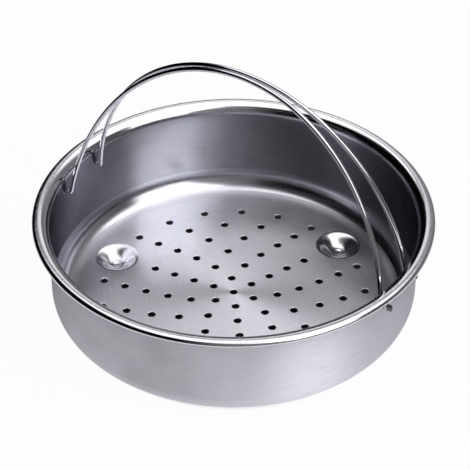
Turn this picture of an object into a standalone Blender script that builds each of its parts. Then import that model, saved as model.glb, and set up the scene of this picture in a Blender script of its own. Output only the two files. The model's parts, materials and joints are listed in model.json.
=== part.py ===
"""Perforated cooking basket: a drawn steel pan with a punched floor and three pressed feet, and two wire handles.

The origin lies on the surface that the feet stand on, under the middle of the pan. +Z is up, and the pins of both
handles run along X. The rear handle is the one on the +Y side. Lengths are in metres, angles in degrees.
"""
import math

import bmesh
import bpy

# Pan, drawn from one sheet: sizes of its inner face
SHEET = 0.0008
PAN_RADIUS = 0.0976
PAN_DEPTH = 0.0563
BASE_FILLET = 0.0126

# Rim: a flange turned out at the top of the wall, with its edge turned down
RIM_RADIUS = 0.1065
RIM_BEND = 0.0030
LIP_BEND = 0.0020
LIP_DROP = 0.0024

# Holes punched in the floor: a middle one and rings that are one pitch apart
HOLE_PITCH = 0.0120
HOLE_DIAMETER = 0.0040
HOLE_RINGS = 6
HOLES_ADDED_PER_RING = 3

# Feet pressed down out of the floor
FOOT_COUNT = 3
FOOT_TURN = 65.0
FOOT_CIRCLE_RADIUS = 0.0720
FOOT_MOUTH_RADIUS = 0.0125
FOOT_SOLE_RADIUS = 0.0026
FOOT_DEPTH = 0.0050

# Wire handles, hung in holes of the wall
WIRE_DIAMETER = 0.0025
PIN_HEIGHT = 0.0420
PIN_SPREAD = 0.0148
PIN_CLEARANCE = 0.0003
HANDLE_RISE = 0.0999
LEG_TAPER = 8.0
LEG_BEND = 0.0025
LEG_CLEARANCE = 0.0012
FRONT_LEAN = 9.0
CROWN_GAP = 0.0003

# Flattened ends that keep the pins in the wall
PINCH_LENGTH = 0.0026
PINCH_TAPER = 0.0008
PINCH_WIDTH = 0.0038
PINCH_THICKNESS = 0.0013
PINCH_GAP = 0.0003

# How far a cutter passes through what it cuts, and the facets of round shapes
CUT_OVERRUN = 0.0020
PAN_SEGMENTS = 72
HOLE_SEGMENTS = 12
PIN_HOLE_SEGMENTS = 16
FOOT_SEGMENTS = 24
FILLET_STEPS = 6
BEND_STEPS = 4
DISH_STEPS = 6
ARCH_STEPS = 40
WIRE_BEVEL_RESOLUTION = 3
SMOOTH_ANGLE = 32.0
MERGE_DISTANCE = 0.00001

# Share of a dish's first step by which its outline passes through the face that it opens
MOUTH_PASS_SHARE = 0.1

# Sizes that follow from the ones above
FLOOR_UNDERSIDE = FOOT_DEPTH
FLOOR_TOP = FLOOR_UNDERSIDE + SHEET
RIM_TOP = FLOOR_TOP + PAN_DEPTH
WALL_RADIUS = PAN_RADIUS + SHEET
PIN_LINE = FLOOR_TOP + PIN_HEIGHT
WIRE_RADIUS = WIRE_DIAMETER / 2
PIN_HOLE_RADIUS = WIRE_RADIUS + PIN_CLEARANCE


def clear_scene():
    """Remove every object of the open file."""
    for item in list(bpy.data.objects):
        bpy.data.objects.remove(item, do_unlink=True)


def new_collection(name):
    """Add a collection under the scene's own."""
    collection = bpy.data.collections.new(name)
    bpy.context.scene.collection.children.link(collection)
    return collection


def steel(name, colour, roughness):
    """Make a bare steel material."""
    material = bpy.data.materials.new(name)
    material.use_nodes = True
    shader = material.node_tree.nodes["Principled BSDF"]
    shader.inputs["Base Color"].default_value = (*colour, 1.0)
    shader.inputs["Metallic"].default_value = 1.0
    shader.inputs["Roughness"].default_value = roughness
    return material


def add_object(name, mesh, collection):
    """Put a mesh in a collection as a named object."""
    item = bpy.data.objects.new(name, mesh)
    collection.objects.link(item)
    return item


def made_real(item):
    """Replace an object by a plain mesh of its evaluated shape, with its loose caps welded on."""
    bpy.context.view_layer.update()
    evaluated = item.evaluated_get(bpy.context.evaluated_depsgraph_get())
    mesh = bpy.data.meshes.new_from_object(evaluated)
    name = item.name
    collection = item.users_collection[0]
    place = item.matrix_world.copy()
    bpy.data.objects.remove(item, do_unlink=True)
    shape = bmesh.new()
    shape.from_mesh(mesh)
    bmesh.ops.remove_doubles(shape, verts=shape.verts, dist=MERGE_DISTANCE)
    shape.to_mesh(mesh)
    shape.free()
    real = add_object(name, mesh, collection)
    real.matrix_world = place
    return real


def shade(item):
    """Shade a round piece smooth, with its real edges kept sharp."""
    item.data.shade_smooth()
    item.data.set_sharp_from_angle(angle=math.radians(SMOOTH_ANGLE))


def arc(centre, radius, start, end, steps):
    """Points on an arc of a flat outline, with its angles in degrees."""
    points = []
    for step in range(steps + 1):
        angle = math.radians(start + (end - start) * step / steps)
        points.append((centre[0] + radius * math.cos(angle), centre[1] + radius * math.sin(angle)))
    return points


def turned(name, outline, segments, collection):
    """Turn an outline of (radius, height) points round Z."""
    mesh = bpy.data.meshes.new(name)
    points = [(radius, 0.0, height) for radius, height in outline]
    mesh.from_pydata(points, [(index, index + 1) for index in range(len(points) - 1)], [])
    item = add_object(name, mesh, collection)
    screw = item.modifiers.new("turn", "SCREW")
    screw.axis = "Z"
    screw.angle = math.tau
    screw.steps = segments
    screw.render_steps = segments
    screw.use_merge_vertices = True
    screw.merge_threshold = MERGE_DISTANCE
    screw.use_smooth_shade = True
    return item


def boolean(item, operation, tool):
    """Join or cut an object with a tool, which then only shows as wires."""
    change = item.modifiers.new(tool.name, "BOOLEAN")
    change.operation = operation
    change.solver = "EXACT"
    change.object = tool
    tool.hide_render = True
    tool.display_type = "WIRE"


def chord(radius, offset):
    """Half the width of a circle at a distance from its middle."""
    return math.sqrt(radius**2 - offset**2)


def foot_places():
    """Middles of the feet, seen from above."""
    places = []
    for index in range(FOOT_COUNT):
        angle = math.radians(FOOT_TURN + index * 360.0 / FOOT_COUNT)
        places.append((FOOT_CIRCLE_RADIUS * math.cos(angle), FOOT_CIRCLE_RADIUS * math.sin(angle)))
    return places


def hole_places():
    """Middles of the floor's holes: the rings start in line with a foot, and a foot takes the place of its holes."""
    clear_of_foot = FOOT_MOUTH_RADIUS + HOLE_DIAMETER / 2
    places = [(0.0, 0.0)]
    for ring in range(1, HOLE_RINGS + 1):
        count = HOLES_ADDED_PER_RING * (ring + 1)
        for index in range(count):
            angle = math.radians(FOOT_TURN + index * 360.0 / count)
            place = (ring * HOLE_PITCH * math.cos(angle), ring * HOLE_PITCH * math.sin(angle))
            if all(math.dist(place, foot) > clear_of_foot for foot in foot_places()):
                places.append(place)
    return places


def pan_outline():
    """Inner face of the pan from the edge of its rim over the wall to the middle of the floor."""
    outline = [(RIM_RADIUS, RIM_TOP - LIP_DROP)]
    outline += arc((RIM_RADIUS - LIP_BEND, RIM_TOP - LIP_BEND), LIP_BEND, 0.0, 90.0, BEND_STEPS)
    outline += arc((PAN_RADIUS + RIM_BEND, RIM_TOP - RIM_BEND), RIM_BEND, 90.0, 180.0, BEND_STEPS)
    outline += arc((PAN_RADIUS - BASE_FILLET, FLOOR_TOP + BASE_FILLET), BASE_FILLET, 0.0, -90.0, FILLET_STEPS)
    outline.append((0.0, FLOOR_TOP))
    return outline


def dish_outline(face):
    """One side of a foot's dish as (radius, height), from just past its mouth in a flat face down to its sole."""
    outline = []
    for step in range(DISH_STEPS + 1):
        share = step / DISH_STEPS
        radius = FOOT_MOUTH_RADIUS + (FOOT_SOLE_RADIUS - FOOT_MOUTH_RADIUS) * share
        outline.append((radius, face - FOOT_DEPTH * (1.0 - math.cos(math.pi * share)) / 2))
    mouth, below = outline[0], outline[1]
    outline[0] = (
        mouth[0] + (mouth[0] - below[0]) * MOUTH_PASS_SHARE,
        mouth[1] + (mouth[1] - below[1]) * MOUTH_PASS_SHARE,
    )
    return outline


def foot_tools(name, face, top, collection):
    """One solid for each foot, closed at the top, whose lower side is the dish below a flat face."""
    dish = dish_outline(face)
    outline = [(0.0, top), (dish[0][0], top), *dish, (0.0, face - FOOT_DEPTH)]
    pattern = made_real(turned(name + "_pattern", outline, FOOT_SEGMENTS, collection))
    shape = bmesh.new()
    for x, y in foot_places():
        start = len(shape.verts)
        shape.from_mesh(pattern.data)
        shape.verts.ensure_lookup_table()
        bmesh.ops.translate(shape, verts=shape.verts[start:], vec=(x, y, 0.0))
    mesh = bpy.data.meshes.new(name)
    shape.to_mesh(mesh)
    shape.free()
    bpy.data.objects.remove(pattern, do_unlink=True)
    return add_object(name, mesh, collection)


def hole_punches(collection):
    """One punch for each hole of the floor."""
    length = SHEET + 2 * CUT_OVERRUN
    middle = (FLOOR_TOP + FLOOR_UNDERSIDE) / 2
    radius = HOLE_DIAMETER / 2
    shape = bmesh.new()
    for x, y in hole_places():
        made = bmesh.ops.create_cone(
            shape, cap_ends=True, segments=HOLE_SEGMENTS, radius1=radius, radius2=radius, depth=length
        )
        bmesh.ops.translate(shape, verts=made["verts"], vec=(x, y, middle))
    mesh = bpy.data.meshes.new("floor_punches")
    shape.to_mesh(mesh)
    shape.free()
    return add_object("floor_punches", mesh, collection)


def pin_drills(collection):
    """Two drills along X, each through both sides of the wall."""
    shape = bmesh.new()
    for side in (-1, 1):
        made = bmesh.ops.create_cone(
            shape,
            cap_ends=True,
            segments=PIN_HOLE_SEGMENTS,
            radius1=PIN_HOLE_RADIUS,
            radius2=PIN_HOLE_RADIUS,
            depth=2 * (WALL_RADIUS + CUT_OVERRUN),
        )
        for vert in made["verts"]:
            x, y, z = vert.co
            vert.co = (z, side * PIN_SPREAD + y, PIN_LINE - x)
    mesh = bpy.data.meshes.new("pin_drills")
    shape.to_mesh(mesh)
    shape.free()
    return add_object("pin_drills", mesh, collection)


def make_pan(collection, tools):
    """Turn the pan from its sheet, press the feet, then punch the floor and drill the wall for the handles."""
    sheet = turned("basket_pan", pan_outline(), PAN_SEGMENTS, collection)
    wall = sheet.modifiers.new("sheet", "SOLIDIFY")
    wall.thickness = SHEET
    wall.offset = 1.0
    wall.use_even_offset = True
    wall.use_quality_normals = True
    pan = made_real(sheet)
    shape = bmesh.new()
    shape.from_mesh(pan.data)
    poles = [vert for vert in shape.verts if math.hypot(vert.co.x, vert.co.y) < MERGE_DISTANCE]
    bmesh.ops.dissolve_verts(shape, verts=poles)
    shape.to_mesh(pan.data)
    shape.free()
    boolean(pan, "UNION", foot_tools("foot_metal", FLOOR_UNDERSIDE, FLOOR_UNDERSIDE + SHEET / 2, tools))
    boolean(pan, "DIFFERENCE", foot_tools("foot_hollows", FLOOR_TOP, FLOOR_TOP + CUT_OVERRUN, tools))
    boolean(pan, "DIFFERENCE", hole_punches(tools))
    boolean(pan, "DIFFERENCE", pin_drills(tools))
    shade(pan)
    pan.data.materials.clear()
    pan.data.materials.append(steel("pan_steel", (0.55, 0.55, 0.58), 0.32))
    return pan


def pin_end():
    """Distance from the middle to a pin's outer end: the flattened stretch starts just outside the wall."""
    widest = chord(WALL_RADIUS, PIN_SPREAD - PINCH_WIDTH / 2)
    return widest + PINCH_GAP + PINCH_TAPER + PINCH_LENGTH


def half_wire():
    """Centre line of half a handle as (along the pins, above the pins), from the outer end to the crown."""
    taper = math.radians(LEG_TAPER)
    leg = chord(PAN_RADIUS, PIN_SPREAD) - WIRE_RADIUS - LEG_CLEARANCE
    leg_start = LEG_BEND * (1.0 - math.sin(taper))
    bend_middle = leg + LEG_BEND * math.cos(taper)
    end = pin_end()
    points = [(end, 0.0), (end - PINCH_LENGTH, 0.0), (end - PINCH_LENGTH - PINCH_TAPER, 0.0)]
    points += arc((bend_middle, LEG_BEND), LEG_BEND, -90.0, LEG_TAPER - 180.0, BEND_STEPS)
    # The arch is part of an ellipse that starts along the leg and is level at the crown.
    rise = HANDLE_RISE - leg_start
    sunk = rise**2 * math.tan(taper) / (leg - 2 * rise * math.tan(taper))
    tall = rise + sunk
    wide = leg * tall / chord(tall, sunk)
    start = math.asin(sunk / tall)
    for step in range(1, ARCH_STEPS // 2 + 1):
        angle = start + (math.pi / 2 - start) * step / (ARCH_STEPS // 2)
        points.append((wide * math.cos(angle), leg_start + tall * math.sin(angle) - sunk))
    return points


def pinch_ends(mesh):
    """Flatten the ends of a handle's pins, wide across the wire and thin through it."""
    full = pin_end() - PINCH_LENGTH
    for vert in mesh.vertices:
        amount = (abs(vert.co.x) - (full - PINCH_TAPER)) / PINCH_TAPER
        amount = min(max(amount, 0.0), 1.0)
        vert.co.y *= 1.0 + (PINCH_THICKNESS / WIRE_DIAMETER - 1.0) * amount
        vert.co.z *= 1.0 + (PINCH_WIDTH / WIRE_DIAMETER - 1.0) * amount


def make_handle(name, side, lean, collection):
    """Bend one wire into a handle: its own X is the pin line, and it stands in its own XZ plane."""
    half = half_wire()
    line = half + [(-x, z) for x, z in reversed(half[:-1])]
    curve = bpy.data.curves.new(name, "CURVE")
    curve.dimensions = "3D"
    curve.bevel_depth = WIRE_RADIUS
    curve.bevel_resolution = WIRE_BEVEL_RESOLUTION
    curve.use_fill_caps = True
    spline = curve.splines.new("POLY")
    spline.points.add(len(line) - 1)
    for point, (x, z) in zip(spline.points, line):
        point.co = (x, 0.0, z, 1.0)
    handle = made_real(add_object(name, curve, collection))
    pinch_ends(handle.data)
    shade(handle)
    handle.location = (0.0, side * PIN_SPREAD, PIN_LINE)
    handle.rotation_euler.x = side * math.radians(lean)
    handle.data.materials.clear()
    handle.data.materials.append(steel(name + "_wire", (0.62, 0.62, 0.65), 0.16))
    return handle


def rear_lean():
    """Lean at which the rear handle's crown lies against the front one's."""
    front_crown = HANDLE_RISE * math.sin(math.radians(FRONT_LEAN)) - PIN_SPREAD
    rear_crown = front_crown + WIRE_DIAMETER + CROWN_GAP
    return math.degrees(math.asin((PIN_SPREAD - rear_crown) / HANDLE_RISE))


def main():
    """Build the basket."""
    clear_scene()
    basket = new_collection("perforated_basket")
    tools = new_collection("cutters")
    make_pan(basket, tools)
    make_handle("front_wire_handle", -1, FRONT_LEAN, basket)
    make_handle("rear_wire_handle", 1, rear_lean(), basket)


main()
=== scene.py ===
"""Looks of a perforated cooking basket: its drawn pan, its two wire handles, the studio and the camera.

Lengths are in metres and angles in degrees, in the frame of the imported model: the feet stand on z = 0 and
the pins of both handles run along X. A bearing is a direction round the object, from +X towards +Y.
"""
import json
import logging
import math
from collections.abc import Callable
from dataclasses import dataclass
from enum import Enum

import bmesh
import bpy
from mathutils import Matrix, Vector


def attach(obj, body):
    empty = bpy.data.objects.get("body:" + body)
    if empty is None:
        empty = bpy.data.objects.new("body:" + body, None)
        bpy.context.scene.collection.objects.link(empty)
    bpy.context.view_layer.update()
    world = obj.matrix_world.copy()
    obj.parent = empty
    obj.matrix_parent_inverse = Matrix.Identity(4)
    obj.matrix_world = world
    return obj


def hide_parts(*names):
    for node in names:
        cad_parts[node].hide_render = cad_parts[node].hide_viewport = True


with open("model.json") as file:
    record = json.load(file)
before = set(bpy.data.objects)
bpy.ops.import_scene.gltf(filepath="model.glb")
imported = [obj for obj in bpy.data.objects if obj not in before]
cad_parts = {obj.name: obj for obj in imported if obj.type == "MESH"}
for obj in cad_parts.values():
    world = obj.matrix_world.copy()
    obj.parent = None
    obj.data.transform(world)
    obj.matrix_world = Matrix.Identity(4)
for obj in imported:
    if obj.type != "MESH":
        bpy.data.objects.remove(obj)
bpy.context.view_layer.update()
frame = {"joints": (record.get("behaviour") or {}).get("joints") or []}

MERGE_DISTANCE = 0.00001
PLACE_TOLERANCE = 0.00002
TURN_Z_TO_X = (0.0, math.radians(90.0), 0.0)

# Nearly all values of a noise lie between these
NOISE_LOW = 0.3
NOISE_HIGH = 0.7

# A Mix node's colour sockets, which share their names with others
COLOUR_A = 6
COLOUR_B = 7
COLOUR_RESULT = 2

Outline = list[tuple[float, float]]
Colour = tuple[float, float, float]
Pairs = tuple[tuple[float, float], ...]

log = logging.getLogger("basket")


def polar(radius: float, bearing: float, height: float = 0.0) -> Vector:
    """Find a point from its distance to the Z axis and its bearing.

    Args:
        radius: Distance from the axis.
        bearing: Direction round the axis, in degrees.
        height: Height above the floor that the feet stand on.

    Returns:
        The point.
    """
    angle = math.radians(bearing)
    return Vector((radius * math.cos(angle), radius * math.sin(angle), height))


def arc(centre: tuple[float, float], radius: float, start: float, end: float, steps: int) -> Outline:
    """List the points of an arc in a flat outline.

    Args:
        centre: Middle of the arc.
        radius: Its radius.
        start: Angle of its first point, in degrees.
        end: Angle of its last point, in degrees.
        steps: Number of straight pieces.

    Returns:
        The points from start to end, both included.
    """
    points = []
    for step in range(steps + 1):
        angle = math.radians(start + (end - start) * step / steps)
        points.append((centre[0] + radius * math.cos(angle), centre[1] + radius * math.sin(angle)))
    return points


class Workpiece:
    """A mesh that is shaped in edit mode, with what the operators act on picked by its place."""

    def __init__(self, name: str) -> None:
        """Take the primitive that was just added, name it and put its place into its mesh.

        Args:
            name: Name of the object and of its mesh.
        """
        self.item = bpy.context.object
        self.item.name = name
        self.item.data.name = name
        bpy.ops.object.transform_apply(location=True, rotation=True, scale=True)

    @staticmethod
    def clear_bench() -> None:
        """Deselect every object, so that the next operator acts on nothing else."""
        bpy.ops.object.select_all(action="DESELECT")

    @classmethod
    def from_circle(
        cls, name: str, radius: float, sides: int, place: Vector, turn: tuple = (0.0, 0.0, 0.0)
    ) -> "Workpiece":
        """Start from an open circle.

        Args:
            name: Name of the object.
            radius: Radius of the circle.
            sides: Number of its edges.
            place: Its middle.
            turn: Its rotation, in radians.

        Returns:
            The piece, in edit mode, with all of it selected.
        """
        cls.clear_bench()
        bpy.ops.mesh.primitive_circle_add(vertices=sides, radius=radius, location=place, rotation=turn)
        piece = cls(name)
        piece.edit()
        bpy.ops.mesh.select_all(action="SELECT")
        return piece

    @staticmethod
    def add_ring(radius: float, sides: int, place: Vector) -> None:
        """Add an open circle to the piece that is being edited."""
        bpy.ops.mesh.primitive_circle_add(vertices=sides, radius=radius, location=place)

    def take(self) -> None:
        """Select the piece alone and make it the active one."""
        self.clear_bench()
        bpy.context.view_layer.objects.active = self.item
        self.item.select_set(True)

    def edit(self) -> None:
        """Open the piece alone in edit mode."""
        self.take()
        bpy.ops.object.mode_set(mode="EDIT")
        bpy.ops.mesh.select_mode(type="VERT")

    def leave(self) -> bpy.types.Object:
        """Go back to object mode.

        Returns:
            The object.
        """
        bpy.ops.object.mode_set(mode="OBJECT")
        return self.item

    def pick(self, wanted: Callable[[Vector], bool], edges_only: bool = False) -> None:
        """Select what has all its corners at a wanted place.

        Args:
            wanted: Says whether a corner is wanted.
            edges_only: Select edges and no faces.
        """
        bpy.ops.mesh.select_mode(type="EDGE" if edges_only else "VERT")
        bpy.ops.mesh.select_all(action="DESELECT")
        shape = bmesh.from_edit_mesh(self.item.data)
        for vert in shape.verts:
            vert.tag = wanted(vert.co)
        if edges_only:
            for edge in shape.edges:
                edge.select = edge.verts[0].tag and edge.verts[1].tag
        else:
            for vert in shape.verts:
                vert.select = vert.tag
            shape.select_flush(True)
        bmesh.update_edit_mesh(self.item.data)

    @staticmethod
    def extrude(shift: Vector, growth: float = 1.0) -> None:
        """Extrude the selected edges and widen or narrow the new ones round the Z axis.

        Args:
            shift: How far the new edges move.
            growth: Factor on their distance from the axis.
        """
        bpy.ops.mesh.extrude_region_move(TRANSFORM_OT_translate={"value": shift})
        if growth != 1.0:
            bpy.ops.transform.resize(value=(growth, growth, 1.0), center_override=(0.0, 0.0, 0.0))

    def follow(self, outline: Outline) -> None:
        """Extrude a selected ring through the points of an outline that is turned round the Z axis.

        Args:
            outline: Points as (radius, height), the first one where the ring is.
        """
        for (radius, height), (next_radius, next_height) in zip(outline, outline[1:]):
            self.extrude(Vector((0.0, 0.0, next_height - height)), next_radius / radius)

    def modify(self, kind: str, **settings: object) -> None:
        """Add a modifier and apply it.

        Args:
            kind: Type of the modifier.
            settings: Its settings.
        """
        self.take()
        change = self.item.modifiers.new(kind.lower(), kind)
        for setting, value in settings.items():
            setattr(change, setting, value)
        bpy.ops.object.modifier_apply(modifier=change.name)

    def smooth(self, angle: float) -> None:
        """Shade the piece smooth, apart from edges sharper than an angle."""
        self.take()
        bpy.ops.object.shade_smooth_by_angle(angle=math.radians(angle))

    def add_copies(self, other: bpy.types.Object, places: list[Vector]) -> None:
        """Join copies of another piece to this one and remove the pattern.

        Args:
            other: The pattern, modelled round the origin.
            places: Where the copies go.
        """
        self.clear_bench()
        for place in places:
            copy = other.copy()
            copy.data = other.data.copy()
            copy.location = place
            bpy.context.scene.collection.objects.link(copy)
            copy.select_set(True)
        self.item.select_set(True)
        bpy.context.view_layer.objects.active = self.item
        bpy.ops.object.join()
        bpy.data.objects.remove(other, do_unlink=True)


class Graph:
    """The nodes of a material or of the world, added and linked one by one."""

    def __init__(self, tree: bpy.types.NodeTree) -> None:
        """Take a node tree."""
        self.tree = tree

    def node(self, kind: str, feeds: dict | None = None, **settings: object) -> bpy.types.Node:
        """Add a node.

        Args:
            kind: Its type, without the prefix that all shader nodes share.
            feeds: What goes into its inputs, by their name or number: a value or another node's socket.
            settings: Its settings.

        Returns:
            The node.
        """
        node = self.tree.nodes.new("ShaderNode" + kind)
        for setting, value in settings.items():
            setattr(node, setting, value)
        for name, value in (feeds or {}).items():
            self.feed(node.inputs[name], value)
        return node

    def feed(self, socket: bpy.types.NodeSocket, value: object) -> None:
        """Link another socket to an input, or set its value."""
        if isinstance(value, bpy.types.NodeSocket):
            self.tree.links.new(value, socket)
        else:
            socket.default_value = value

    def math(self, operation: str, *values: object) -> bpy.types.NodeSocket:
        """Add a Math node and give its result."""
        return self.node("Math", dict(enumerate(values)), operation=operation).outputs["Value"]

    def vector(self, operation: str, *values: object) -> bpy.types.NodeSocket:
        """Add a Vector Math node and give its vector."""
        return self.node("VectorMath", dict(enumerate(values)), operation=operation).outputs["Vector"]

    def length(self, vector: bpy.types.NodeSocket) -> bpy.types.NodeSocket:
        """Give the length of a vector."""
        return self.node("VectorMath", {0: vector}, operation="LENGTH").outputs["Value"]

    def span(
        self, value: object, low: float, high: float, to_low: float = 0.0, to_high: float = 1.0
    ) -> bpy.types.NodeSocket:
        """Map a range of a value to another range, with soft ends.

        Args:
            value: The value.
            low: Where the first range starts.
            high: Where it ends.
            to_low: What its start becomes.
            to_high: What its end becomes.

        Returns:
            The mapped value.
        """
        feeds = {"Value": value, "From Min": low, "From Max": high, "To Min": to_low, "To Max": to_high}
        return self.node("MapRange", feeds, interpolation_type="SMOOTHSTEP").outputs["Result"]

    def blend(self, share: bpy.types.NodeSocket, first: object, second: object) -> bpy.types.NodeSocket:
        """Mix two colours.

        Args:
            share: Share of the second one.
            first: The first colour.
            second: The second colour.

        Returns:
            The mixed colour.
        """
        feeds = {"Factor": share, COLOUR_A: first, COLOUR_B: second}
        return self.node("Mix", feeds, data_type="RGBA").outputs[COLOUR_RESULT]

    def seen(self) -> bpy.types.NodeSocket:
        """Give 1 for camera, glossy and transmission rays and 0 for the others."""
        path = self.node("LightPath")
        direct = self.math("MAXIMUM", path.outputs["Is Camera Ray"], path.outputs["Is Glossy Ray"])
        return self.math("MAXIMUM", direct, path.outputs["Is Transmission Ray"])


class Grain(Enum):
    """Which way the marks of the finishing run."""

    ROUND = "round the Z axis"
    EVEN = "the same in all directions"


@dataclass(frozen=True)
class SteelFinish:
    """A finish of bare steel, with the marks that its finishing left."""

    name: str
    colour: Colour
    roughness: float
    roughness_spread: float
    anisotropy: float
    grain: Grain
    grain_pitch: float
    grain_depth: float
    grain_detail: float = 3.0
    cloud_size: float = 0.03
    cloud_detail: float = 2.0
    cloud_share: float = 0.5
    shade_spread: float = 0.06
    grain_turns: float = 9.0
    spread_turn: float = 0.25
    # Tint of reflections at grazing angles: steel's own edge tint, set far lower on the outside and the wall
    # as painted shade.
    grazing_tint_and_shade: float = 1.0

    def material(self) -> bpy.types.Material:
        """Build the finish as nodes.

        Returns:
            The material.
        """
        material = bpy.data.materials.new(self.name)
        material.use_nodes = True
        shader = material.node_tree.nodes["Principled BSDF"]
        shader.inputs["Metallic"].default_value = 1.0
        shader.inputs["Anisotropic"].default_value = self.anisotropy
        shader.inputs["Anisotropic Rotation"].default_value = self.spread_turn
        # A grazing tint below steel's own darkens grazing reflections as painted shade.
        shader.inputs["Specular Tint"].default_value = (self.grazing_tint_and_shade, self.grazing_tint_and_shade, self.grazing_tint_and_shade, 1.0)
        graph = Graph(material.node_tree)
        place = graph.node("TexCoord").outputs["Object"]
        marks_feeds = {"Vector": self.marks_place(graph, place), "Scale": 1.0, "Detail": self.grain_detail}
        clouds_feeds = {"Vector": place, "Scale": 1.0 / self.cloud_size, "Detail": self.cloud_detail}
        marks = graph.node("TexNoise", marks_feeds)
        clouds = graph.node("TexNoise", clouds_feeds)
        parts = {"Factor": self.cloud_share, "A": marks.outputs["Fac"], "B": clouds.outputs["Fac"]}
        mixed = graph.node("Mix", parts, data_type="FLOAT").outputs["Result"]
        low, high = self.roughness - self.roughness_spread, self.roughness + self.roughness_spread
        graph.feed(shader.inputs["Roughness"], graph.span(mixed, NOISE_LOW, NOISE_HIGH, low, high))
        tone = graph.node("ValToRGB", {"Fac": marks.outputs["Fac"]})
        levels = ((NOISE_LOW, 1.0 - self.shade_spread), (NOISE_HIGH, 1.0 + self.shade_spread))
        for stop, (position, level) in zip(tone.color_ramp.elements, levels):
            stop.position = position
            stop.color = (*(channel * level for channel in self.colour), 1.0)
        graph.feed(shader.inputs["Base Color"], tone.outputs["Color"])
        bump = graph.node("Bump", {"Distance": self.grain_depth, "Height": marks.outputs["Fac"]})
        graph.feed(shader.inputs["Normal"], bump.outputs["Normal"])
        if self.grain is Grain.ROUND:
            tangent = graph.node("Tangent", direction_type="RADIAL", axis="Z")
            graph.feed(shader.inputs["Tangent"], tangent.outputs["Tangent"])
        return material

    def marks_place(self, graph: Graph, place: bpy.types.NodeSocket) -> bpy.types.NodeSocket:
        """Stretch the coordinates along the marks of the finishing.

        Args:
            graph: The material's nodes.
            place: Object coordinates.

        Returns:
            Coordinates in which the marks are one unit apart.
        """
        if self.grain is Grain.EVEN:
            return graph.vector("DIVIDE", place, (self.grain_pitch,) * 3)
        flat = graph.vector("MULTIPLY", place, (1.0, 1.0, 0.0))
        outward = graph.vector("NORMALIZE", flat)
        heading = graph.vector("MULTIPLY", outward, (self.grain_turns, self.grain_turns, 0.0))
        height = graph.node("SeparateXYZ", {"Vector": place}).outputs["Z"]
        across = graph.math("DIVIDE", graph.math("ADD", graph.length(flat), height), self.grain_pitch)
        return graph.vector("ADD", heading, graph.node("CombineXYZ", {"Z": across}).outputs["Vector"])


# The outside is coloured lighter than the floor of the same sheet: painted light.
OUTSIDE_LIT_COLOUR = (0.79, 0.79, 0.865)
# The inner wall is coloured darker than the floor of the same sheet: painted shade.
WALL_SHADE_COLOUR = (0.45, 0.45, 0.49)
FLOOR_COLOUR = (0.59, 0.59, 0.645)
POLISHED_COLOUR = (0.70, 0.70, 0.745)
WIRE_COLOUR = (0.66, 0.66, 0.70)
# Near black for the flattened wire ends under the rim: painted shade.
END_SHADE_COLOUR = (0.12, 0.12, 0.13)

SATIN_AND_LIT_OUTSIDE = SteelFinish(
    name="satin_and_lit_outside", colour=OUTSIDE_LIT_COLOUR, roughness=0.50, roughness_spread=0.05, anisotropy=0.90,
    grain=Grain.ROUND, grain_pitch=0.0009, grain_depth=0.000004, grazing_tint_and_shade=0.4,
)
SATIN_AND_SHADED_WALL = SteelFinish(
    name="satin_and_shaded_wall", colour=WALL_SHADE_COLOUR, roughness=0.19, roughness_spread=0.02, anisotropy=0.90,
    grain=Grain.ROUND, grain_pitch=0.0012, grain_depth=0.000002, grazing_tint_and_shade=0.2,
)
SATIN_FLOOR = SteelFinish(
    name="satin_floor", colour=FLOOR_COLOUR, roughness=0.31, roughness_spread=0.03, anisotropy=0.88,
    grain=Grain.ROUND, grain_pitch=0.0009, grain_depth=0.000004,
)
BRIGHT_FILLET = SteelFinish(
    name="bright_fillet", colour=FLOOR_COLOUR, roughness=0.20, roughness_spread=0.02, anisotropy=0.50,
    grain=Grain.ROUND, grain_pitch=0.0012, grain_depth=0.000001,
)
PRESSED_DISH = SteelFinish(
    name="pressed_dish", colour=POLISHED_COLOUR, roughness=0.22, roughness_spread=0.02, anisotropy=0.0,
    grain=Grain.EVEN, grain_pitch=0.0012, grain_depth=0.000001,
)
POLISHED_RIM = SteelFinish(
    name="polished_steel", colour=POLISHED_COLOUR, roughness=0.14, roughness_spread=0.03, anisotropy=0.0,
    grain=Grain.EVEN, grain_pitch=0.0015, grain_depth=0.000001,
)
POLISHED_WIRE = SteelFinish(
    name="polished_wire", colour=WIRE_COLOUR, roughness=0.10, roughness_spread=0.03, anisotropy=0.0,
    grain=Grain.EVEN, grain_pitch=0.0010, grain_depth=0.000001,
)
PAINTED_SHADE_END = SteelFinish(
    name="shaded_wire_end", colour=END_SHADE_COLOUR, roughness=0.30, roughness_spread=0.05, anisotropy=0.0,
    grain=Grain.EVEN, grain_pitch=0.0006, grain_depth=0.000002,
)


class Zone(Enum):
    """The zones of the pan that are finished apart, in the order of its material slots."""

    OUTSIDE = 0
    WALL = 1
    FLOOR = 2
    FILLET = 3
    DISH = 4
    RIM = 5


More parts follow.
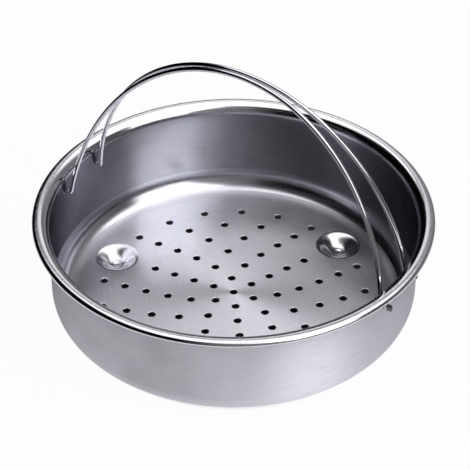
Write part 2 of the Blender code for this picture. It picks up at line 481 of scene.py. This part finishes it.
@dataclass
class BasketPan:
    """The pan: one sheet of steel, drawn, punched in its floor and pressed into three feet."""

    sheet: float = 0.0008
    radius: float = 0.0976
    depth: float = 0.0563
    base_fillet: float = 0.0126
    satin_radius: float = 0.0908
    rim_radius: float = 0.1065
    rim_bend: float = 0.0055
    lip_bend: float = 0.0020
    lip_drop: float = 0.0021
    hole_pitch: float = 0.0120
    hole_diameter: float = 0.0040
    hole_rings: int = 6
    holes_added_per_ring: int = 3
    hole_margin: float = 0.0006
    hole_roll: float = 0.0003
    burr_round: float = 0.0001
    lip_round: float = 0.0001
    foot_count: int = 3
    foot_turn: float = 65.0
    foot_circle_radius: float = 0.0720
    foot_mouth_radius: float = 0.0125
    foot_sole_radius: float = 0.0026
    foot_depth: float = 0.0050
    hollow_depth: float = 0.00045
    hollow_steps: int = 6
    pin_hole_radius: float = 0.00155
    pin_margin: float = 0.0040
    turned_sides: int = 288
    hole_sides: int = 24
    foot_sides: int = 72
    pin_hole_sides: int = 24
    dish_steps: int = 20
    fillet_steps: int = 16
    bend_steps: int = 10
    roll_steps: int = 3
    round_steps: int = 2
    smooth_angle: float = 32.0

    @property
    def flat_radius(self) -> float:
        """Radius of the flat part of the floor."""
        return self.radius - self.base_fillet

    @property
    def hole_radius(self) -> float:
        """Radius of a hole in the floor."""
        return self.hole_diameter / 2

    @property
    def collar_radius(self) -> float:
        """Radius of the collar round a hole, inside which the floor's faces run round the hole."""
        return self.hole_radius + self.hole_margin

    @property
    def floor_top(self) -> float:
        """Height of the floor's upper face."""
        return self.foot_depth + self.sheet

    @property
    def rim_top(self) -> float:
        """Height of the rim."""
        return self.floor_top + self.depth

    def feet(self) -> list[Vector]:
        """Find the middles of the feet, seen from above."""
        step = 360.0 / self.foot_count
        bearings = [self.foot_turn + step * index for index in range(self.foot_count)]
        return [polar(self.foot_circle_radius, bearing) for bearing in bearings]

    def holes(self) -> list[Vector]:
        """Find the middles of the floor's holes, seen from above.

        Returns:
            A middle one and those of each ring, without the ones that a foot takes the place of.
        """
        clear = self.foot_mouth_radius + self.hole_radius
        places = [Vector((0.0, 0.0, 0.0))]
        for ring in range(1, self.hole_rings + 1):
            count = self.holes_added_per_ring * (ring + 1)
            for index in range(count):
                place = polar(ring * self.hole_pitch, self.foot_turn + index * 360.0 / count)
                if all((place - foot).length > clear for foot in self.feet()):
                    places.append(place)
        return places

    def wall_outline(self, pin_height: float) -> Outline:
        """List the inner face as (radius, height), from the flat of the floor up to the edge of the rim.

        Args:
            pin_height: Height of the pin holes, near which the wall has edges of its own.

        Returns:
            The points.
        """
        fillet_middle = (self.flat_radius, self.floor_top + self.base_fillet)
        rim_middle = (self.radius + self.rim_bend, self.rim_top - self.rim_bend)
        lip_middle = (self.rim_radius - self.lip_bend, self.rim_top - self.lip_bend)
        outline = arc(fillet_middle, self.base_fillet, -90.0, 0.0, self.fillet_steps)
        outline += [(self.radius, pin_height - self.pin_margin), (self.radius, pin_height + self.pin_margin)]
        outline += arc(rim_middle, self.rim_bend, 180.0, 90.0, self.bend_steps)
        outline += arc(lip_middle, self.lip_bend, 90.0, 0.0, self.bend_steps)
        outline.append((self.rim_radius, self.rim_top - self.lip_drop))
        return outline

    def dish_outline(self) -> Outline:
        """List one foot's dish as (radius, depth under the floor's face), from its mouth to its sole."""
        outline = []
        for step in range(self.dish_steps + 1):
            share = step / self.dish_steps
            radius = self.foot_mouth_radius + (self.foot_sole_radius - self.foot_mouth_radius) * share
            outline.append((radius, -self.foot_depth * (1.0 - math.cos(math.pi * share)) / 2))
        return outline

    def dish(self) -> bpy.types.Object:
        """Model one dish round the origin, from a ring at its mouth."""
        piece = Workpiece.from_circle("foot_dish", self.foot_mouth_radius, self.foot_sides, Vector())
        piece.follow(self.dish_outline())
        bpy.ops.mesh.edge_face_add()
        return piece.leave()

    def collar(self) -> bpy.types.Object:
        """Model the flat collar round one hole, about the origin."""
        piece = Workpiece.from_circle("hole_collar", self.collar_radius, self.hole_sides, Vector())
        piece.follow([(self.collar_radius, 0.0), (self.hole_radius, 0.0)])
        return piece.leave()

    def draw_sheet(self, pin_height: float) -> Workpiece:
        """Fill the flat floor round its holes and feet, then draw the wall and the rim up from its edge.

        Args:
            pin_height: Height of the pin holes.

        Returns:
            The inner face of the pan, with no thickness yet.
        """
        level = Vector((0.0, 0.0, self.floor_top))
        pan = Workpiece.from_circle("basket_pan_sheet", self.flat_radius, self.turned_sides, level)
        for place in self.holes():
            pan.add_ring(self.collar_radius, self.hole_sides, place + level)
        for place in self.feet():
            pan.add_ring(self.foot_mouth_radius, self.foot_sides, place + level)
        bpy.ops.mesh.select_all(action="SELECT")
        bpy.ops.mesh.fill(use_beauty=True)
        pan.leave()
        pan.add_copies(self.dish(), [place + level for place in self.feet()])
        pan.add_copies(self.collar(), [place + level for place in self.holes()])
        pan.edit()
        bpy.ops.mesh.select_all(action="SELECT")
        bpy.ops.mesh.remove_doubles(threshold=MERGE_DISTANCE)
        pan.pick(lambda co: co.xy.length > self.flat_radius - PLACE_TOLERANCE, edges_only=True)
        pan.follow(self.wall_outline(pin_height))
        bpy.ops.mesh.select_all(action="SELECT")
        bpy.ops.mesh.normals_make_consistent(inside=False)
        shape = bmesh.from_edit_mesh(pan.item.data)
        if sum(face.normal.z for face in shape.faces) < 0.0:
            bpy.ops.mesh.flip_normals()
        pan.leave()
        return pan

    def near_hole(self, co: Vector, height: float) -> bool:
        """Say whether a corner lies on the edge of a hole at a height."""
        if abs(co.z - height) > PLACE_TOLERANCE:
            return False
        reaches = ((co.xy - hole.xy).length for hole in self.holes())
        return any(abs(reach - self.hole_radius) < PLACE_TOLERANCE for reach in reaches)

    def on_sole(self, co: Vector) -> bool:
        """Say whether a corner lies on the upper face of a sole."""
        if abs(co.z - self.sheet) > PLACE_TOLERANCE:
            return False
        return any((co.xy - foot.xy).length < self.foot_sole_radius + PLACE_TOLERANCE for foot in self.feet())

    def on_lip(self, co: Vector) -> bool:
        """Say whether a corner lies on the cut edge of the rim's lip."""
        lip = self.rim_top - self.lip_drop
        return abs(co.z - lip) < PLACE_TOLERANCE and co.xy.length > self.radius + self.rim_bend

    def coin_soles(self, pan: Workpiece) -> None:
        """Coin a shallow hollow into the upper face of each sole, which stays flat underneath.

        Args:
            pan: The pan with its thickness.
        """
        pan.edit()
        pan.pick(self.on_sole)
        # Shares of the sole's radius; the hollow is a bowl, as deep as 1 minus the share's square
        shares = [1.0 - step / (self.hollow_steps + 1) for step in range(self.hollow_steps + 1)]
        for outer, inner in zip(shares, shares[1:]):
            sunk = self.hollow_depth * (outer**2 - inner**2)
            bpy.ops.mesh.inset(thickness=self.foot_sole_radius * (outer - inner), depth=-sunk)
        pan.leave()

    def soften_edges(self, pan: Workpiece) -> None:
        """Roll the punched edges over on top and round the cut ones underneath and along the lip.

        Args:
            pan: The pan with its thickness.
        """
        pan.edit()
        pan.pick(lambda co: self.near_hole(co, self.floor_top), edges_only=True)
        bpy.ops.mesh.bevel(offset=self.hole_roll, segments=self.roll_steps, affect="EDGES")
        pan.pick(lambda co: self.near_hole(co, self.foot_depth), edges_only=True)
        bpy.ops.mesh.bevel(offset=self.burr_round, segments=self.round_steps, affect="EDGES")
        pan.pick(self.on_lip, edges_only=True)
        bpy.ops.mesh.bevel(offset=self.lip_round, segments=self.round_steps, affect="EDGES")
        pan.leave()

    def drill_pin_holes(self, pan: Workpiece, pins: list[Vector]) -> None:
        """Drill the wall on both sides for each handle.

        Args:
            pan: The pan with its thickness.
            pins: A point on each pin line, in the middle of the pan.
        """
        for pin in pins:
            pan.clear_bench()
            bpy.ops.mesh.primitive_cylinder_add(
                vertices=self.pin_hole_sides,
                radius=self.pin_hole_radius,
                depth=2 * self.rim_radius,
                location=pin,
                rotation=TURN_Z_TO_X,
            )
            drill = Workpiece("pin_drill").item
            pan.modify("BOOLEAN", object=drill, operation="DIFFERENCE", solver="EXACT")
            bpy.data.objects.remove(drill, do_unlink=True)

    def dress(self, pan: bpy.types.Object) -> None:
        """Give each zone of the pan its finish; the outside's colour holds painted light and the inner wall's
        painted shade.

        Args:
            pan: The finished pan.
        """
        for finish in (SATIN_AND_LIT_OUTSIDE, SATIN_AND_SHADED_WALL, SATIN_FLOOR, BRIGHT_FILLET, PRESSED_DISH, POLISHED_RIM):
            pan.data.materials.append(finish.material())
        for face in pan.data.polygons:
            face.material_index = self.zone(face).value

    def zone(self, face: bpy.types.MeshPolygon) -> Zone:
        """Say which zone of the pan a face belongs to, from its middle and the way it faces."""
        reach = face.center.xy.length
        if face.center.z > self.rim_top - self.rim_bend:
            return Zone.RIM
        if any((face.center.xy - foot.xy).length < self.foot_mouth_radius for foot in self.feet()):
            return Zone.DISH
        if reach < self.flat_radius:
            return Zone.FLOOR
        if reach > self.radius + self.sheet / 2 or face.normal.xy.dot(face.center.xy) > 0.0:
            return Zone.OUTSIDE
        if reach < self.satin_radius:
            return Zone.FLOOR
        return Zone.FILLET if face.center.z < self.floor_top + self.base_fillet else Zone.WALL

    def build(self, pins: list[Vector]) -> bpy.types.Object:
        """Model and dress the pan.

        Args:
            pins: A point on each handle's pin line, in the middle of the pan.

        Returns:
            The pan.
        """
        pan = self.draw_sheet(pins[0].z)
        pan.modify(
            "SOLIDIFY", thickness=self.sheet, offset=-1.0, use_even_offset=True, use_quality_normals=True
        )
        self.coin_soles(pan)
        self.soften_edges(pan)
        self.drill_pin_holes(pan, pins)
        pan.smooth(self.smooth_angle)
        self.dress(pan.item)
        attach(pan.item, "pan")
        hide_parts("basket_pan")
        return pan.item


@dataclass
class WireHandle:
    """One handle: a wire bent into an arch, with its two ends turned out and flattened."""

    name: str
    node: str
    body: str
    lean: float
    pin: Vector
    pan_radius: float
    sheet: float
    wire_diameter: float = 0.0025
    rise: float = 0.0999
    leg_taper: float = 8.0
    leg_bend: float = 0.0025
    leg_clearance: float = 0.0012
    pinch_length: float = 0.0026
    pinch_taper: float = 0.0008
    pinch_width: float = 0.0038
    pinch_thickness: float = 0.0013
    pinch_gap: float = 0.0003
    end_round: float = 0.0004
    sides: int = 28
    arch_steps: int = 72
    bend_steps: int = 12
    pinch_steps: int = 6
    smooth_angle: float = 40.0

    # How far along its rounding the tip goes at each step, and how much it narrows there
    tip_steps: Pairs = ((0.6, 0.90), (0.4, 0.72))

    def pin_end(self) -> float:
        """Find how far from the middle the wire ends: it is flattened just outside the wall."""
        inner = abs(self.pin.y) - self.pinch_width / 2
        widest = math.sqrt((self.pan_radius + self.sheet) ** 2 - inner**2)
        return widest + self.pinch_gap + self.pinch_taper + self.pinch_length

    def centre_line(self) -> list[tuple[float, float, float]]:
        """List the wire's middle from the crown to the start of the flattened end.

        Returns:
            Points as (along the pins, above the pins, heading in degrees).
        """
        taper = math.radians(self.leg_taper)
        leg = math.sqrt(self.pan_radius**2 - self.pin.y**2) - self.wire_diameter / 2 - self.leg_clearance
        leg_start = self.leg_bend * (1.0 - math.sin(taper))
        rise = self.rise - leg_start
        sunk = rise**2 * math.tan(taper) / (leg - 2 * rise * math.tan(taper))
        tall = rise + sunk
        wide = leg * tall / math.sqrt(tall**2 - sunk**2)
        low = math.degrees(math.asin(sunk / tall))
        points = []
        for step in range(self.arch_steps + 1):
            angle = math.radians(90.0 + (low - 90.0) * step / self.arch_steps)
            heading = math.degrees(math.atan2(-tall * math.cos(angle), wide * math.sin(angle)))
            points.append((wide * math.cos(angle), leg_start + tall * math.sin(angle) - sunk, heading))
        bend = (leg + self.leg_bend * math.cos(taper), self.leg_bend)
        for step in range(1, self.bend_steps + 1):
            turn = self.leg_taper - 180.0 + (90.0 - self.leg_taper) * step / self.bend_steps
            angle = math.radians(turn)
            along = bend[0] + self.leg_bend * math.cos(angle)
            above = bend[1] + self.leg_bend * math.sin(angle)
            points.append((along, above, turn + 90.0))
        points.append((self.pin_end() - self.pinch_length - self.pinch_taper, 0.0, 0.0))
        return points

    def bend_half(self) -> Workpiece:
        """Extrude a ring from the crown down one leg and out along its pin, then flatten the end."""
        line = self.centre_line()
        crown = Vector((line[0][0], 0.0, line[0][1]))
        piece = Workpiece.from_circle(self.name, self.wire_diameter / 2, self.sides, crown, TURN_Z_TO_X)
        for (along, above, heading), (next_along, next_above, next_heading) in zip(line, line[1:]):
            piece.extrude(Vector((next_along - along, 0.0, next_above - above)))
            if next_heading != heading:
                middle = Vector((next_along, 0.0, next_above))
                bpy.ops.transform.rotate(
                    value=math.radians(next_heading - heading), orient_axis="Y", center_override=middle
                )
        self.flatten_end(piece, line[-1][0])
        piece.leave()
        return piece

    def flatten_end(self, piece: Workpiece, start: float) -> None:
        """Flatten the wire from the selected ring on, round its tip off and close it.

        Args:
            piece: The wire.
            start: Where the ring is, along the pins.
        """
        end = Vector((start, 0.0, 0.0))
        thin = self.pinch_thickness / self.wire_diameter
        broad = self.pinch_width / self.wire_diameter
        done = (1.0, 1.0)
        for step in range(1, self.pinch_steps + 1):
            eased = (1.0 - math.cos(math.pi * step / self.pinch_steps)) / 2
            size = (1.0 + (thin - 1.0) * eased, 1.0 + (broad - 1.0) * eased)
            piece.extrude(Vector((self.pinch_taper / self.pinch_steps, 0.0, 0.0)))
            end.x += self.pinch_taper / self.pinch_steps
            bpy.ops.transform.resize(value=(1.0, size[0] / done[0], size[1] / done[1]), center_override=end)
            done = size
        piece.extrude(Vector((self.pinch_length - self.end_round, 0.0, 0.0)))
        end.x += self.pinch_length - self.end_round
        for share, growth in self.tip_steps:
            piece.extrude(Vector((self.end_round * share, 0.0, 0.0)))
            end.x += self.end_round * share
            bpy.ops.transform.resize(value=(1.0, growth, growth), center_override=end)
        bpy.ops.mesh.edge_face_add()

    def dress(self, item: bpy.types.Object) -> None:
        """Give the wire its finish, and its flattened ends a near-black colour that is painted shade.

        Args:
            item: The finished handle.
        """
        # Faces past this point are the flattened ends, coloured with painted shade.
        pressed = self.pin_end() - self.pinch_length - self.pinch_taper / 2
        for finish in (POLISHED_WIRE, PAINTED_SHADE_END):
            item.data.materials.append(finish.material())
        for face in item.data.polygons:
            face.material_index = int(abs(face.center.x) > pressed)

    def build(self) -> bpy.types.Object:
        """Model, place and dress the handle.

        Returns:
            The handle.
        """
        piece = self.bend_half()
        piece.modify("MIRROR", use_axis=(True, False, False), merge_threshold=MERGE_DISTANCE)
        piece.edit()
        bpy.ops.mesh.select_all(action="SELECT")
        bpy.ops.mesh.normals_make_consistent(inside=False)
        item = piece.leave()
        item.rotation_euler.x = math.radians(self.lean)
        item.location = self.pin
        bpy.ops.object.transform_apply(location=True, rotation=True, scale=True)
        piece.smooth(self.smooth_angle)
        self.dress(item)
        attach(item, self.body)
        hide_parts(self.node)
        return item


@dataclass(frozen=True)
class SoftBox:
    """A soft box that points at the object, its sides given as angles seen from there."""

    name: str
    bearing: float
    elevation: float
    half_width: float
    half_height: float
    brightness: float
    distance: float = 1.5

    def hang(self, aim: Vector) -> None:
        """Hang the soft box.

        Args:
            aim: What it points at.
        """
        level = math.cos(math.radians(self.elevation))
        back = polar(level, self.bearing, math.sin(math.radians(self.elevation)))
        lamp = bpy.data.lights.new(self.name, "AREA")
        lamp.shape = "RECTANGLE"
        lamp.size = 2 * self.distance * math.tan(math.radians(self.half_width))
        lamp.size_y = 2 * self.distance * math.tan(math.radians(self.half_height))
        lamp.energy = self.brightness * math.pi * lamp.size * lamp.size_y
        item = bpy.data.objects.new(self.name, lamp)
        bpy.context.scene.collection.objects.link(item)
        item.location = aim + back * self.distance
        item.rotation_euler = back.to_track_quat("Z", "Y").to_euler()


@dataclass
class Studio:
    """A white table, a dome of card that only reflections see, soft boxes and the camera."""

    floor_size: float = 12.0
    floor_paint: float = 0.9
    floor_glow_share: float = 0.96
    floor_mirror_share: float = 0.93
    # Tone of the floor's paint under the pan: a painted shadow.
    painted_shadow_tone: float = 0.12
    shadow_core: float = 0.080
    shadow_edge: float = 0.088
    table_radius: float = 0.24
    dark_radius: float = 0.42
    dark_share: float = 0.04
    world_light: float = 0.35
    dome_radius: float = 2.2
    dome_sides: int = 64
    low_card_top: float = 38.0
    high_card_start: float = 48.0
    high_card_top: float = 54.0
    roof_start: float = 62.0
    roof_shade: float = 1.5
    roof_bearing: float = 85.0
    roof_lean: float = 12.0
    camera_bearing: float = 300.0
    camera_elevation: float = 38.22
    camera_distance: float = 0.9784
    lens: float = 140.35
    aim: tuple[float, float, float] = (0.00065, 0.000375, 0.04543)

    # Greys of the dome's two bands of card as (bearing, share of white)
    low_shades: Pairs = (
        (0, 0.05), (60, 0.20), (105, 0.28), (130, 0.0), (270, 0.0), (300, 0.2), (330, 0.3), (360, 0.05),
    )
    high_shades: Pairs = (
        (0, 0.8), (30, 0.4), (60, 0.45), (90, 0.45), (108, 0.3), (121, 0.6), (138, 2.2), (155, 0.0),
        (270, 0.0), (300, 0.25), (330, 1.0), (360, 0.8),
    )
    soft_boxes: tuple[SoftBox, ...] = (
        SoftBox("key_light", 347.0, 42.0, half_width=18.0, half_height=28.0, brightness=2.0),
        SoftBox("top_light", 20.0, 56.0, half_width=24.0, half_height=10.0, brightness=1.0),
        SoftBox("rear_light", 112.0, 50.0, half_width=12.0, half_height=6.0, brightness=0.6),
        SoftBox("rear_low_light", 120.0, 34.0, half_width=8.5, half_height=5.0, brightness=1.0),
    )

    def make_world(self) -> None:
        """Light the scene evenly and show white behind it."""
        world = bpy.data.worlds.new("studio")
        bpy.context.scene.world = world
        world.use_nodes = True
        world.node_tree.nodes.clear()
        graph = Graph(world.node_tree)
        white = (1.0, 1.0, 1.0, 1.0)
        light = graph.node("Background", {"Color": white, "Strength": self.world_light})
        backdrop = graph.node("Background", {"Color": white})
        mix = graph.node("MixShader", {0: graph.seen(), 1: light.outputs[0], 2: backdrop.outputs[0]})
        graph.node("OutputWorld", {"Surface": mix.outputs[0]})

    def make_floor(self) -> None:
        """Lay a white floor that keeps the object's shadow, with a painted shadow under the pan."""
        Workpiece.clear_bench()
        bpy.ops.mesh.primitive_plane_add(size=self.floor_size, location=(0.0, 0.0, 0.0))
        floor = Workpiece("studio_floor").item
        material = bpy.data.materials.new("white_floor")
        material.use_nodes = True
        material.node_tree.nodes.clear()
        graph = Graph(material.node_tree)
        reach = graph.length(graph.node("TexCoord").outputs["Object"])
        clear = graph.span(reach, self.shadow_core, self.shadow_edge)
        # Inside the shadow radii the paint darkens to a painted shadow under the pan.
        tone = graph.math("MULTIPLY_ADD", clear, self.floor_paint - self.painted_shadow_tone, self.painted_shadow_tone)
        paint = graph.node("BsdfDiffuse", {"Color": tone})
        camera = graph.node("LightPath").outputs["Is Camera Ray"]
        mirrored = graph.math("MULTIPLY", graph.seen(), self.floor_mirror_share)
        share = graph.math("MULTIPLY_ADD", camera, self.floor_glow_share - self.floor_mirror_share, mirrored)
        share = graph.math("MULTIPLY", share, clear)
        fading = graph.span(reach, self.table_radius, self.dark_radius, 1.0, self.dark_share)
        glow = graph.node("Emission", {"Strength": graph.math("MAXIMUM", camera, fading)})
        mix = graph.node("MixShader", {0: share, 1: paint.outputs[0], 2: glow.outputs[0]})
        graph.node("OutputMaterial", {"Surface": mix.outputs[0]})
        floor.data.materials.append(material)

    @staticmethod
    def shade_band(graph: Graph, turn: bpy.types.NodeSocket, shades: Pairs) -> bpy.types.NodeSocket:
        """Grade a band of card by its bearing.

        Args:
            graph: The card's nodes.
            turn: Bearing as a share of a full turn.
            shades: Greys as (bearing, share of white), the first one at 0 and the last one at 360 degrees.

        Returns:
            The colour.
        """
        band = graph.node("ValToRGB", {"Fac": turn})
        band.color_ramp.interpolation = "EASE"
        stops = band.color_ramp.elements
        for bearing, _ in shades[1:-1]:
            stops.new(bearing / 360.0)
        for stop, (_, shade) in zip(stops, shades):
            stop.color = (shade, shade, shade, 1.0)
        return band.outputs["Color"]

    @staticmethod
    def above(graph: Graph, sine: bpy.types.NodeSocket, low: float, high: float) -> bpy.types.NodeSocket:
        """Compare an elevation, given as its sine, with two others.

        Args:
            graph: The card's nodes.
            sine: Sine of the elevation.
            low: Elevation up to which the result is 0.
            high: Elevation from which on it is 1.

        Returns:
            The result.
        """
        return graph.span(sine, math.sin(math.radians(low)), math.sin(math.radians(high)))

    def make_dome(self) -> None:
        """Stand a dome of graded card with a leaning roof round the object, for its reflections only."""
        Workpiece.clear_bench()
        bpy.ops.mesh.primitive_uv_sphere_add(
            segments=self.dome_sides, ring_count=self.dome_sides // 2, radius=self.dome_radius
        )
        piece = Workpiece("studio_dome")
        piece.edit()
        bpy.ops.mesh.select_all(action="SELECT")
        bpy.ops.mesh.bisect(plane_co=(0.0, 0.0, 0.0), plane_no=(0.0, 0.0, 1.0), clear_inner=True)
        dome = piece.leave()
        material = bpy.data.materials.new("graded_card")
        material.use_nodes = True
        material.node_tree.nodes.clear()
        graph = Graph(material.node_tree)
        spot = graph.node("TexCoord").outputs["Object"]
        place = graph.node("SeparateXYZ", {"Vector": spot})
        angle = graph.math("ARCTAN2", place.outputs["Y"], place.outputs["X"])
        turn = graph.math("FRACT", graph.math("DIVIDE", angle, math.tau))
        height = graph.math("DIVIDE", place.outputs["Z"], self.dome_radius)
        lean = math.radians(self.roof_lean)
        roof_middle = polar(math.sin(lean), self.roof_bearing, math.cos(lean))
        along = graph.node("VectorMath", {0: spot, 1: roof_middle}, operation="DOT_PRODUCT").outputs["Value"]
        nearness = graph.math("DIVIDE", along, self.dome_radius)
        bands = [self.shade_band(graph, turn, shades) for shades in (self.low_shades, self.high_shades)]
        cards = graph.blend(self.above(graph, height, self.low_card_top, self.high_card_start), *bands)
        roof = (self.roof_shade, self.roof_shade, self.roof_shade, 1.0)
        shade = graph.blend(self.above(graph, nearness, self.high_card_top, self.roof_start), cards, roof)
        glow = graph.node("Emission", {"Color": shade})
        graph.node("OutputMaterial", {"Surface": glow.outputs[0]})
        dome.data.materials.append(material)
        dome.visible_camera = False
        dome.visible_diffuse = False
        dome.visible_shadow = False

    def make_camera(self) -> None:
        """Put the camera where the photograph was taken from."""
        aim = Vector(self.aim)
        level = math.cos(math.radians(self.camera_elevation))
        back = polar(level, self.camera_bearing, math.sin(math.radians(self.camera_elevation)))
        data = bpy.data.cameras.new("camera")
        data.lens = self.lens
        camera = bpy.data.objects.new("camera", data)
        bpy.context.scene.collection.objects.link(camera)
        camera.location = aim + back * self.camera_distance
        camera.rotation_euler = back.to_track_quat("Z", "Y").to_euler()
        bpy.context.scene.camera = camera

    def build(self) -> None:
        """Set up the camera, the floor, the light and the look of the render."""
        self.make_camera()
        self.make_world()
        self.make_floor()
        self.make_dome()
        for box in self.soft_boxes:
            box.hang(Vector(self.aim))
        bpy.context.scene.view_settings.view_transform = "Standard"


def report(item: bpy.types.Object) -> None:
    """Log a finished piece and how many faces it has."""
    log.info("%s: %d faces", item.name, len(item.data.polygons))


def main() -> None:
    """Build the studio, the pan and both handles."""
    logging.basicConfig(level=logging.INFO)
    Studio().build()
    log.info("studio built")
    joints = {joint["name"]: Vector(joint["pos_m"]) for joint in frame["joints"]}
    front_pin, rear_pin = joints["front_handle_swing"], joints["rear_handle_swing"]
    sizes = BasketPan()
    report(sizes.build([front_pin, rear_pin]))
    shared = {"pan_radius": sizes.radius, "sheet": sizes.sheet}
    front = WireHandle(
        name="front_handle_wire", node="front_wire_handle", body="front_handle",
        lean=-9.0, pin=front_pin, **shared,
    )
    report(front.build())
    rear = WireHandle(
        name="rear_handle_wire", node="rear_wire_handle", body="rear_handle",
        lean=6.42, pin=rear_pin, **shared,
    )
    report(rear.build())


if __name__ == "__main__":
    main()
